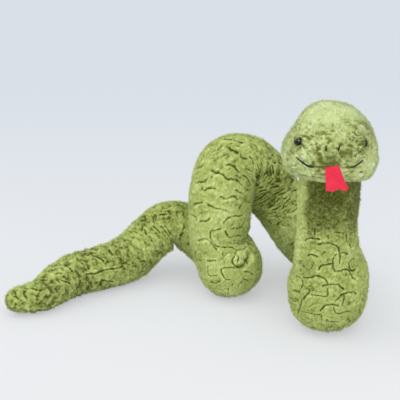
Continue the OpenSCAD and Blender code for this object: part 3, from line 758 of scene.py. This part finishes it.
def plushMaterial(name, deep, middle, crest):
    material, tree, shader = newMaterial(name, roughness=0.95, specular=0.1)
    giveSheen(shader, weight=0.65, roughness=0.45, tint=crest)
    tone = addNode(tree, "ShaderNodeAttribute", attribute_name="tone")
    nap = addNode(tree, "ShaderNodeAttribute", attribute_name="nap")
    group = addNode(tree, "ShaderNodeGroup", node_tree=plushPile)
    for key, value in (("Deep", deep), ("Middle", middle), ("Crest", crest), ("Pile Scale", 700)):
        group.inputs[key].default_value = value
    tree.links.new(tone.outputs["Fac"], group.inputs["Tone"])
    tree.links.new(nap.outputs["Vector"], group.inputs["Nap"])
    tree.links.new(group.outputs["Color"], shader.inputs["Base Color"])
    roughen(tree, shader, group.outputs["Height"], strength=0.5, distance=0.0006)
    return material


# the deep colour shows where the tone carries painted shade, the crest colour where it carries painted light
bodyPlush = plushMaterial("bodyPlush", linear(76, 80, 12), linear(190, 204, 116), linear(230, 241, 170))
headPlush = plushMaterial("headPlush", linear(104, 112, 44), linear(200, 213, 140), linear(238, 247, 210))


# Finishes of the nodes that stay, and of the thread
def speckled(name, dark, pale, scale, roughness, specular, bumpHeight):
    material, tree, shader = newMaterial(name, roughness, specular)
    where = addNode(tree, "ShaderNodeTexCoord")
    noise = addNode(tree, "ShaderNodeTexNoise", Scale=scale, Detail=3)
    tree.links.new(where.outputs["Object"], noise.inputs["Vector"])
    tree.links.new(blended(tree, noise.outputs["Fac"], dark, pale), shader.inputs["Base Color"])
    roughen(tree, shader, noise.outputs["Fac"], strength=0.4, distance=bumpHeight)
    return material


finishes = dict(
    blackBead=(linear(6, 6, 9), linear(14, 14, 19), 300, 0.12, 0.35, 0.00002),
    blackThread=(linear(8, 9, 8), linear(34, 36, 32), 2600, 0.7, 0.2, 0.0003),
    greyWasher=(linear(150, 150, 148), linear(176, 176, 172), 500, 0.45, 0.4, 0.00005),
)
finished = dict(
    blackBead=("left_eye", "right_eye"),
    greyWasher=("left_eye_washer", "right_eye_washer"),
)
finishMaterials = {name: speckled(name, *look) for name, look in finishes.items()}

# The stretches of the body, each across the joint where it bends
routes = dict(column=layRoute(columnLine), rear=layRoute(rearLine), tail=layRoute(tailLine))
skins = dict(
    baseSkin=dict(route="column", start=0, end=2.8, ends=(0.6, "inner"), bodies=("base", "neck_lower"),
                  joint="neck_sway", span=46, fill=0.9, covers=("base",)),
    neckSkin=dict(route="column", start=2.8, end=5, ends=("inner", "inner"),
                  bodies=("neck_lower", "neck_upper"), joint="neck_nod", span=46, fill=0.9,
                  covers=("neck_lower", "neck_upper")),
    rearSkin=dict(route="rear", start=0.35, end=3.1, ends=("inner", "inner"), bodies=("base", "rear"),
                  joint="rear_swing", span=44, fill=0.85, covers=("floor_run", "rear_turn")),
    archSkin=dict(route="rear", start=3.1, end=8.3, ends=("inner", "inner"), bodies=("rear", "front_leg"),
                  joint="arch_turn", span=50, fill=0.85, covers=("rising_leg", "arch_rear")),
    footSkin=dict(route="rear", start=8.3, end=12, ends=("inner", 0.78), bodies=("front_leg",),
                  fill=0.85, covers=("arch_front", "front_leg")),
    lowArchSkin=dict(route="tail", start=0.5, end=6.4, ends=("inner", "inner"),
                     bodies=("low_arch", "tail_root"), joint="tail_lift", span=44, toward=(-0.9, -0.1, -0.42),
                     fill=0.8, covers=("foot_run", "low_arch_rear", "low_arch_front")),
    tailSkin=dict(route="tail", start=6.4, end=8.6, ends=("inner", "inner"),
                  bodies=("tail_root", "tail_middle"), joint="tail_swing", span=42, fill=0.8,
                  covers=("tail_root",)),
    tipSkin=dict(route="tail", start=8.6, end=11, ends=("inner", 1), bodies=("tail_middle", "tail_tip"),
                 joint="tail_curl", span=40, fill=0.75, covers=("tail_middle", "tail_tip")),
)


def attach(piece, skin):
    if "joint" not in skin:
        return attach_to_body(piece, skin["bodies"][0])
    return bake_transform(piece)


for name, skin in skins.items():
    seed = 40 * list(routes).index(skin["route"])
    piece = rollSkin(name, skin, bodyPlush, seed)
    tufts = growPile(name.replace("Skin", "Pile"), piece, bodyPlush, seed + int(skin["start"] * 10))
    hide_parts(*[cover + part for cover in skin["covers"] for part in ("_cover", "_stuffing")])
    for part in (piece, tufts):
        attach(part, skin)
    print(name, len(piece.data.polygons), "faces,", len(tufts.data.polygons) // len(tuftFaces), "tufts")

# Head
head = dict(
    seed=200,
    middle=(-7, -11, 179),      # under side, from the middle of the base
    width=99, nose=50, nape=46, crown=56, jaw=21,
    crownFall=0.98, jawFall=0.4, cheekPower=1.1, faceTurn=6,
    cuts=88,
    fuller=0.4,
    calmFrom=(56, 72),          # heights between which the pile gets smoother, and paler with a painted highlight on the crown
    paintedCrownLight=0.5, calmWaves=0.7, grainTone=0.35, calmGrain=0.2,
    dark=0.36,                  # how much darker than level pile the face is
    frontFrom=(10, -14),        # depths between which the front begins
    swirls=(9, 7), swirlDrifts=((12, 5), (5, 1.6)), swirlFlat=0.8,
    swirlPatch=15, swirlShown=(-0.05, 0.2), swirlMore=0.1, swirlCalm=0.5,
    seam=23,                    # height of the mouth seam over the under side
    seamTo=(34, 24),            # turns over which it fades
    chinSoft=5, chinTo=(70, 30), chinIn=1.2,
    eyeTurn=44, eyeHeight=44.5, threadSpots=25, pileSeed=500,
    # darker places: turn, height, width, rise and how dark; the last, with a negative amount, is painted
    # light that makes the right cheek paler
    shades=((-12, 31, 10, 7, 0.32), (15, 36, 12, 8, 0.5), (0, 27, 16, 5, 0.45), (56, 46, 5, 9, 0.3),
            (0, 13, 28, 6, 0.15), (0, 40, 34, 12, 0.15), (72, 56, 9, 7, 0.25), (60, 28, 16, 12, -0.3)),
    # where the outline stands out or falls back: turn, height, width, height and how far
    swells=((-92, 52, 40, 13, -4.4), (-75, 73, 60, 9, 2.2), (84, 3, 36, 7, 5)),
    # rows of thread, as turns and heights, then half the width at the first and at the last, and how blunt
    threads=dict(
        leftNostril=(((-4.8, 45.2), (-4.3, 39.2)), 0.5, 1.05, 1),
        rightNostril=(((9.8, 46.6), (7.2, 39.4)), 0.6, 1.05, 1),
        leftSmile=(((-41, 30), (-35, 27.4), (-29, 25.2), (-23, 23.6), (-17, 23)), 0.75, 0.85, 0.45),
        rightSmile=(((39.5, 29.4), (34, 27), (28, 24.8), (21.5, 23.2)), 0.7, 0.75, 0.45),
    ),
    # ridges and creases of the pile, each a row of turn and height
    ridges=[
        (-24, 56, -14, 56, -5, 56, 1, 58, 7, 61, 10, 64), (38, 47, 38, 40, 42, 34, 44, 31),
        (24, 50, 28, 54, 34, 53, 34, 50, 29, 48, 25, 49), (73, 61, 71, 58, 69, 56),
        (-2, 50, 4, 52, 10, 50, 12, 48), (-60, 30, -44, 38, -36, 42, -32, 46, -26, 52),
        (-18, 36, -14, 39, -6, 39), (12, 45, 17, 47, 24, 45), (-28, 59, -24, 62, -16, 63),
        (10, 64, 18, 66, 33, 66),
    ],
    creases=[
        (-32, 18, -26, 17, -18, 20, -10, 21), (32, 16, 37, 18, 44, 19, 52, 20), (-17, 34, -14, 30, -12, 27),
        (0, 29, 4, 32, 6, 34), (-34, 64, -29, 65), (6, 62, 8, 64), (56, 59, 62, 56, 66, 54), (-6, 38, -6, 31),
        (6, 38, 6, 34), (-32, 36, -31, 32), (-85, 22, -70, 26),
    ],
)
headMiddle = baseMiddle + head["middle"]


def signedPower(v, power):
    return np.sign(v) * np.abs(v) ** power


def headPoint(turn, tilt, grow=0.0):
    # point on the head in millimetres; turn is counted from the middle of the face to the viewer's right
    fall = np.where(tilt > 0, head["crownFall"], head["jawFall"])
    k = np.maximum(np.cos(tilt), 0) ** fall
    reach = np.where(np.cos(turn) > 0, head["nose"], head["nape"]) + grow
    x = (head["width"] / 2 + grow) * k * signedPower(np.sin(turn), 1 / head["cheekPower"])
    y = -reach * k * signedPower(np.cos(turn), 1 / head["cheekPower"])
    z = head["jaw"] + (np.where(tilt > 0, head["crown"], head["jaw"]) + grow) * np.sin(tilt)
    return np.stack([x, y, z], -1)


def onHead(turn, height, grow=0.0):
    rise = np.asarray(height, float) - head["jaw"]
    tilt = np.arcsin(rise / np.where(rise > 0, head["crown"], head["jaw"]))
    return headPoint(np.radians(turn), tilt, grow)


def turnFace(p, back=False):
    a = math.radians(head["faceTurn"] if back else -head["faceTurn"])
    if back:
        p = p - headMiddle
    turned = np.stack([p[..., 0] * math.cos(a) - p[..., 1] * math.sin(a),
                       p[..., 0] * math.sin(a) + p[..., 1] * math.cos(a), p[..., 2]], -1)
    return turned if back else turned + headMiddle


def alongHead(line, t, grow=0.0):
    return onHead(*curvePoint(line, t * (len(line) - 1)).T, grow)


stitches = [alongHead(line, np.linspace(0, 1, head["threadSpots"]))
            for line, *wide in head["threads"].values()]
# Pile that stands round the left and the right bead: direction in degrees seen from outside, distance,
# height, lean over the bead, and the length of tufts combed over it
lids = dict(
    across=2.4, along=4.5, within=16,
    left=((136, 3.5, 9.4, 2.2, 4.6), (50, 5.6, 1.4, 0, 0), (262, 5, 2.2, 0, 0), (0, 6, 1, 0, 0)),
    right=((178, 2.7, 7.6, 0.8, 0), (8, 5, 2.6, 0, 0), (90, 5.4, 2, 0, 0)),
    combedFrom=0.35, combedOver=0.95, combedOut=0.3, combedLeast=0.6,
)
up = np.array([0, 0, 1.0])


def findBead(turn, rows):
    # place of a bead, the ways out of it and to the viewer's right of it, and its lids
    spot = onHead(turn, head["eyeHeight"])
    out = unit(onHead(turn, head["eyeHeight"], 1.0) - spot)
    right = unit(np.cross(out, up))
    keys = ("bearing", "distance", "lift", "lean", "combed")
    return dict(spot=spot, out=out, right=right, lids=[dict(zip(keys, row)) for row in rows])


beads = [findBead(-head["eyeTurn"], lids["left"]), findBead(head["eyeTurn"], lids["right"])]


def nearStitches(p):
    away = np.full(len(p), 99.0)
    for spot in np.concatenate(stitches):
        away = np.minimum(away, np.linalg.norm(p - spot, axis=1))
    return away


def lidsAt(p, bead):
    # each lid of a bead, how much of it stands at each point, and the way over the bead there
    away = p - bead["spot"]
    aside, high = away @ -bead["right"], away @ up
    near = np.linalg.norm(away, axis=1) < lids["within"]
    for lid in bead["lids"]:
        b = math.radians(lid["bearing"])
        along, past = aside * math.cos(b) + high * math.sin(b), high * math.cos(b) - aside * math.sin(b)
        stands = hump(along - lid["distance"], lids["across"]) * hump(past, lids["along"]) * near
        yield lid, stands, math.cos(b) * bead["right"] - math.sin(b) * up


def sculptHead(p):
    seed = head["seed"]
    leaned, tint = np.zeros_like(p), np.zeros(len(p))
    form = bumpForm(p, "headFilling", seed) + bumpForm(p, "headPatches", seed)
    form[0] += head["fuller"]
    calm = smoothStep(*head["calmFrom"], p[:, 2])
    front = smoothStep(*head["frontFrom"], p[:, 1])
    # light swirls where the pile turns over, painted light along each swirl and painted shade beside it
    wide, fine = head["swirlDrifts"]
    warped = wander(wander(p, *wide, seed + 1), *fine, seed + 5)
    patches = softNoise(p / head["swirlPatch"], seed + 9) + head["swirlMore"] - head["swirlCalm"] * calm
    for size, k in zip(head["swirls"], (10, 20)):
        away = awayFromLines(warped, (size, size, size * head["swirlFlat"]), seed + k)
        form += smoothStep(*head["swirlShown"], patches) * lineForm(away, "swirl")
    form += (1 - head["calmWaves"] * calm) * bumpForm(p, "headWaves", seed)
    height, shade = bumpForm(p, "headGrain", seed)
    form[0] += height
    form[1] += (head["grainTone"] - head["calmGrain"] * calm) * shade
    # the crown paler with a painted highlight, and the face darker than level pile
    form[1] += head["paintedCrownLight"] * calm - head["dark"]
    for name, kind in (("ridges", "ridge"), ("creases", "faceCrease")):
        spots = np.concatenate([onHead(*spotsAlong(line)) for line in head[name]])
        form += lineForm(nearestOf(spots, wander(p, *carving["lineDrift"], seed + 30)), kind)
    # darker places on the face, and painted light on the right cheek where the amount is negative
    for turn, level, wide, high, dark in head["shades"]:
        tint -= dark * hump(np.linalg.norm((p - onHead(turn, level)) / (wide, wide, high), axis=1), 1)

    turned = np.degrees(np.arctan2(p[:, 0], -p[:, 1]))
    for turn, level, wide, high, rise in head["swells"]:
        form[0] += rise * hump((turned - turn + 180) % 360 - 180, wide) * hump(p[:, 2] - level, high)
    form += front * smoothStep(*head["seamTo"], np.abs(turned)) * lineForm(p[:, 2] - head["seam"], "seam")
    chin = smoothStep(head["seam"], head["seam"] - head["chinSoft"], p[:, 2])
    chin *= front * smoothStep(*head["chinTo"], np.abs(turned))
    form += chin * bumpForm(p, "chinFolds", seed)
    form[0] -= chin * head["chinIn"]
    form += lineForm(nearStitches(p), "thread")
    for bead in beads:
        away = p - bead["spot"]
        form += lineForm(np.hypot(away @ bead["right"], away @ up), "socket")
        for lid, stands, over in lidsAt(p, bead):
            form[0] += lid["lift"] * stands
            leaned += (lid["lean"] * stands)[:, None] * over
    return form[0], toned(form[1]), tint, leaned


def makeHead():
    # a finely cut cube blown up to the shape of the head
    bm = bmesh.new()
    bmesh.ops.create_cube(bm, size=2)
    bmesh.ops.subdivide_edges(bm, edges=bm.edges, cuts=head["cuts"], use_grid_fill=True)
    mesh = asMesh(bm, "headSkin")
    p = unit(np.tan(placesOf(mesh) * math.pi / 4))
    turn, tilt = np.arctan2(p[:, 0], -p[:, 1]), np.arcsin(np.clip(p[:, 2], -1, 1))
    place = headPoint(turn, tilt, -plush["sink"])
    outward = unit(headPoint(turn, tilt, 1.0) - place)
    height, rise, tint, leaned = sculptHead(place)
    moveTo(mesh, turnFace(place + leaned + outward * height[:, None]))
    tone = np.clip(rise + plush["tintShare"] * tint, 0, 1)
    keepOn(mesh, tone=tone, rise=rise, nap=place * mm, outward=turnFace(outward) - headMiddle)
    mesh.shade_smooth()
    return linkNew("headSkin", mesh, headPlush)


groomed = dict(
    byStitch=(0.9, 2.6), byBead=(2.2, 4.2),      # distances over which tufts grow to their full length
    behindTongue=(3, 14, 1), behindLong=0.45,   # middle, half the width and height over the seam
    shorterFront=0.3, frontFrom=(5, -15),
)


def groomFace(root, way, long):
    # shorter pile on the face, shortest near beads, thread and tongue, and combed over a bead at a lid
    p = turnFace(root, back=True)
    share = smoothStep(*groomed["byStitch"], nearStitches(p))
    for bead in beads:
        share *= smoothStep(*groomed["byBead"], np.linalg.norm(p - bead["spot"], axis=1))
    middle, half, over = groomed["behindTongue"]
    behind = (p[:, 1] < 0) & (np.abs(p[:, 0] - middle) < half) & (p[:, 2] < head["seam"] + over)
    long = long * np.where(behind, share * groomed["behindLong"], share)
    long *= 1 - groomed["shorterFront"] * smoothStep(*groomed["frontFrom"], p[:, 1])
    least = lids["combedLeast"]
    for bead in beads:
        for lid, stands, over in lidsAt(p, bead):
            if lid["combed"]:
                combedWay = unit(lids["combedOver"] * over + lids["combedOut"] * bead["out"])
                taken = stands > lids["combedFrom"]
                way = np.where(taken[:, None], turnFace(combedWay) - headMiddle, way)
                long = np.where(taken, lid["combed"] * (least + (1 - least) * stands), long)
    return way, long


headSkin = makeHead()
headPile = growPile("headPile", headSkin, headPlush, head["pileSeed"], groomFace)
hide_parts("head_cover", "chin_cover", "head_stuffing")
for part in (headSkin, headPile):
    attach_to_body(part, "head")
print("head", len(headSkin.data.polygons), "faces,", len(headPile.data.polygons) // len(tuftFaces), "tufts")

# Felt tongue
tongue = dict(
    turn=3,             # leaves the mouth this far to the viewer's right
    lean=11,
    tuck=2, length=28.2, thick=1.7, gap=0.45,
    rootLeft=-7, rootRight=6.6, tipLeft=-10.2, tipRight=12.4, flare=1.2,
    notchAt=0.55, notch=2.6, notchWidth=0.13,
    slantLeft=3.6, roundLeft=1.2, roundRight=3.4, roundPower=6,
    bow=1.1, hang=0.9, ruffle=0.35, ruffleAcross=9, ruffleDown=4,
    rim=0.35,
    columns=30, rows=48,
)


def feltMaterial():
    material, tree, shader = newMaterial("redFelt", roughness=0.9, specular=0.15)
    giveSheen(shader, weight=0.35, roughness=0.5, tint=linear(250, 150, 160))
    where = addNode(tree, "ShaderNodeTexCoord")
    fuzz = addNode(tree, "ShaderNodeTexNoise", Scale=900, Detail=4, Roughness=0.7)
    cloud = addNode(tree, "ShaderNodeTexNoise", Scale=120, Detail=2)
    for noise in (fuzz, cloud):
        tree.links.new(where.outputs["Object"], noise.inputs["Vector"])
    fuzzTone = scaled(tree, fuzz.outputs["Fac"], factor=0.7, shift=-0.1)
    cloudTone = scaled(tree, cloud.outputs["Fac"], factor=0.7, shift=-0.2)
    tone = joined(tree, fuzzTone, cloudTone, operation="ADD", use_clamp=True)
    colour = blended(tree, tone, linear(226, 28, 54), linear(252, 72, 98))
    tree.links.new(colour, shader.inputs["Base Color"])
    roughen(tree, shader, fuzz.outputs["Fac"], strength=0.4, distance=0.0004)
    return material


def makeTongue():
    bm = bmesh.new()
    bmesh.ops.create_grid(bm, x_segments=tongue["columns"], y_segments=tongue["rows"], size=1)
    lean = math.radians(tongue["lean"])
    rootX = head["nose"] * math.sin(math.radians(tongue["turn"]))
    rootY = -head["nose"] - tongue["gap"]
    for v in bm.verts:
        s, t = (v.co.x + 1) / 2, (1 - v.co.y) / 2       # shares of the way across and down
        left = tongue["rootLeft"] + (tongue["tipLeft"] - tongue["rootLeft"]) * t
        right = tongue["rootRight"] + (tongue["tipRight"] - tongue["rootRight"]) * t ** tongue["flare"]
        tip = tongue["notch"] * math.exp(-(((s - tongue["notchAt"]) / tongue["notchWidth"]) ** 2))
        tip += tongue["slantLeft"] * (1 - s) + tongue["roundLeft"] * (1 - s) ** tongue["roundPower"]
        tip += tongue["roundRight"] * s ** tongue["roundPower"]
        across = left + (right - left) * s
        down = tongue["tuck"] - (tongue["length"] - tip * t ** 2) * t
        bow = tongue["bow"] * math.sin(math.pi * t) + tongue["hang"] * t * t
        bow += tongue["ruffle"] * math.cos(s * tongue["ruffleAcross"] + t * tongue["ruffleDown"]) * t
        x = across * math.cos(lean) - down * math.sin(lean)
        z = across * math.sin(lean) + down * math.cos(lean)
        v.co = (rootX + x, rootY - bow, head["seam"] + z)
    bmesh.ops.recalc_face_normals(bm, faces=bm.faces)
    bmesh.ops.solidify(bm, geom=bm.faces, thickness=tongue["thick"])
    folded = math.radians(60)
    rim = [edge for edge in bm.edges if len(edge.link_faces) == 2 and edge.calc_face_angle() > folded]
    bmesh.ops.bevel(bm, geom=rim, offset=tongue["rim"], offset_type="OFFSET", affect="EDGES", segments=2,
                    profile=0.5, material=-1)
    bmesh.ops.recalc_face_normals(bm, faces=bm.faces)
    mesh = asMesh(bm, "feltTongue")
    moveTo(mesh, turnFace(placesOf(mesh)))
    mesh.shade_smooth()
    return linkNew("feltTongue", mesh, feltMaterial())


feltTongue = makeTongue()
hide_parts("tongue")
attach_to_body(feltTongue, "tongue")
print("tongue", len(feltTongue.data.polygons), "faces")


# Thread of the nostrils and the smile
def makeThread(name, line, first, last, blunt):
    # a ball drawn out into a row of thread that lies on the face
    stitch = dict(sides=12, rings=32, over=0.15, flat=0.9)
    bm = bmesh.new()
    bmesh.ops.create_uvsphere(bm, u_segments=stitch["sides"], v_segments=stitch["rings"], radius=1)
    mesh = asMesh(bm, name)
    x, y, z = placesOf(mesh).T
    t = (1 - z) / 2
    middle = alongHead(line, t, stitch["over"])
    out = unit(alongHead(line, t, stitch["over"] + 1) - middle)
    side = unit(np.cross(alongHead(line, t + 0.01, stitch["over"]) - middle, out))
    fuller = np.maximum(np.hypot(x, y), 1e-6) ** (blunt - 1)
    thick = (first + (last - first) * t) * fuller
    place = middle + side * (x * thick)[:, None] + out * (y * stitch["flat"] * fuller)[:, None]
    moveTo(mesh, turnFace(place))
    mesh.shade_smooth()
    return linkNew(name, mesh, finishMaterials["blackThread"])


for name, settings in head["threads"].items():
    thread = makeThread(name, *settings)
    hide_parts(name.replace("N", "_n").replace("S", "_s") + "_stitch")
    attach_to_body(thread, "head")
print("thread", len(head["threads"]), "rows")

for name, nodeNames in finished.items():
    for nodeName in nodeNames:
        for slot in bpy.data.objects[nodeName].material_slots:
            slot.link = "OBJECT"
            slot.material = finishMaterials[name]
print("finishes given")


# Floor, light and camera
paper = dict(
    size=9, squares=8,
    near=(-0.4, linear(234, 235, 237)),     # how far back, and the colour there
    far=(1.1, linear(214, 220, 227)),
    plain=0.55,                             # share of what the camera sees that takes no shadow
)


def makeStage():
    bm = bmesh.new()
    bmesh.ops.create_grid(bm, x_segments=paper["squares"], y_segments=paper["squares"], size=paper["size"])
    mesh = asMesh(bm, "floor")
    material, tree, shader = newMaterial("paper", roughness=0.9, specular=0.1)
    where = addNode(tree, "ShaderNodeTexCoord")
    split = addNode(tree, "ShaderNodeSeparateXYZ")
    tree.links.new(where.outputs["Object"], split.inputs[0])
    (nearAt, nearTone), (farAt, farTone) = paper["near"], paper["far"]
    tint = blended(tree, eased(tree, split.outputs["Y"], nearAt, farAt), nearTone, farTone)
    tree.links.new(tint, shader.inputs["Base Color"])
    # part of what the camera sees is the plain paper colour, so that the shadows stay pale
    seen = addNode(tree, "ShaderNodeLightPath").outputs
    looked = joined(tree, seen["Is Camera Ray"], seen["Is Glossy Ray"], operation="MAXIMUM")
    plain = addNode(tree, "ShaderNodeEmission")
    tree.links.new(tint, plain.inputs["Color"])
    both = addNode(tree, "ShaderNodeMixShader")
    tree.links.new(scaled(tree, looked, factor=paper["plain"], shift=0), both.inputs["Fac"])
    tree.links.new(shader.outputs[0], both.inputs[1])
    tree.links.new(plain.outputs[0], both.inputs[2])
    tree.links.new(both.outputs[0], tree.nodes["Material Output"].inputs["Surface"])
    linkNew("floor", mesh, material)


makeStage()
lamps = dict(       # strength, softness in degrees, and where the light comes from
    key=(1.15, 85, (-0.15, -0.4, 1)),
    rim=(0.5, 60, (-1, 0.1, 0.75)),
    fill=(0.45, 80, (0.35, -1, 0.6)),
    spark=(5, 24, (0.42, -0.6, 0.68)),      # only shows in the beads
)
for name, (strength, softness, source) in lamps.items():
    lamp = bpy.data.lights.new(name, "SUN")
    lamp.energy = strength
    lamp.angle = math.radians(softness)
    lampObject = bpy.data.objects.new(name, lamp)
    lampObject.rotation_euler = Vector(source).to_track_quat("Z", "Y").to_euler()
    lampObject.visible_diffuse = name != "spark"
    bpy.context.scene.collection.objects.link(lampObject)
sky = dict(Color=linear(242, 244, 247), Strength=0.65)
world = bpy.data.worlds.new("studio")
bpy.context.scene.world = world
world.use_nodes = True
for key, value in sky.items():
    world.node_tree.nodes["Background"].inputs[key].default_value = value

view = dict(place=(0.01814, -1.13840, 0.53950), down=20, lens=98.28)
camera = bpy.data.objects.new("camera", bpy.data.cameras.new("camera"))
camera.location = view["place"]
camera.rotation_euler = (math.radians(90 - view["down"]), 0, 0)
camera.data.lens = view["lens"]
bpy.context.scene.collection.objects.link(camera)
bpy.context.scene.camera = camera
bpy.context.scene.view_settings.view_transform = "Standard"

print("scene ready")
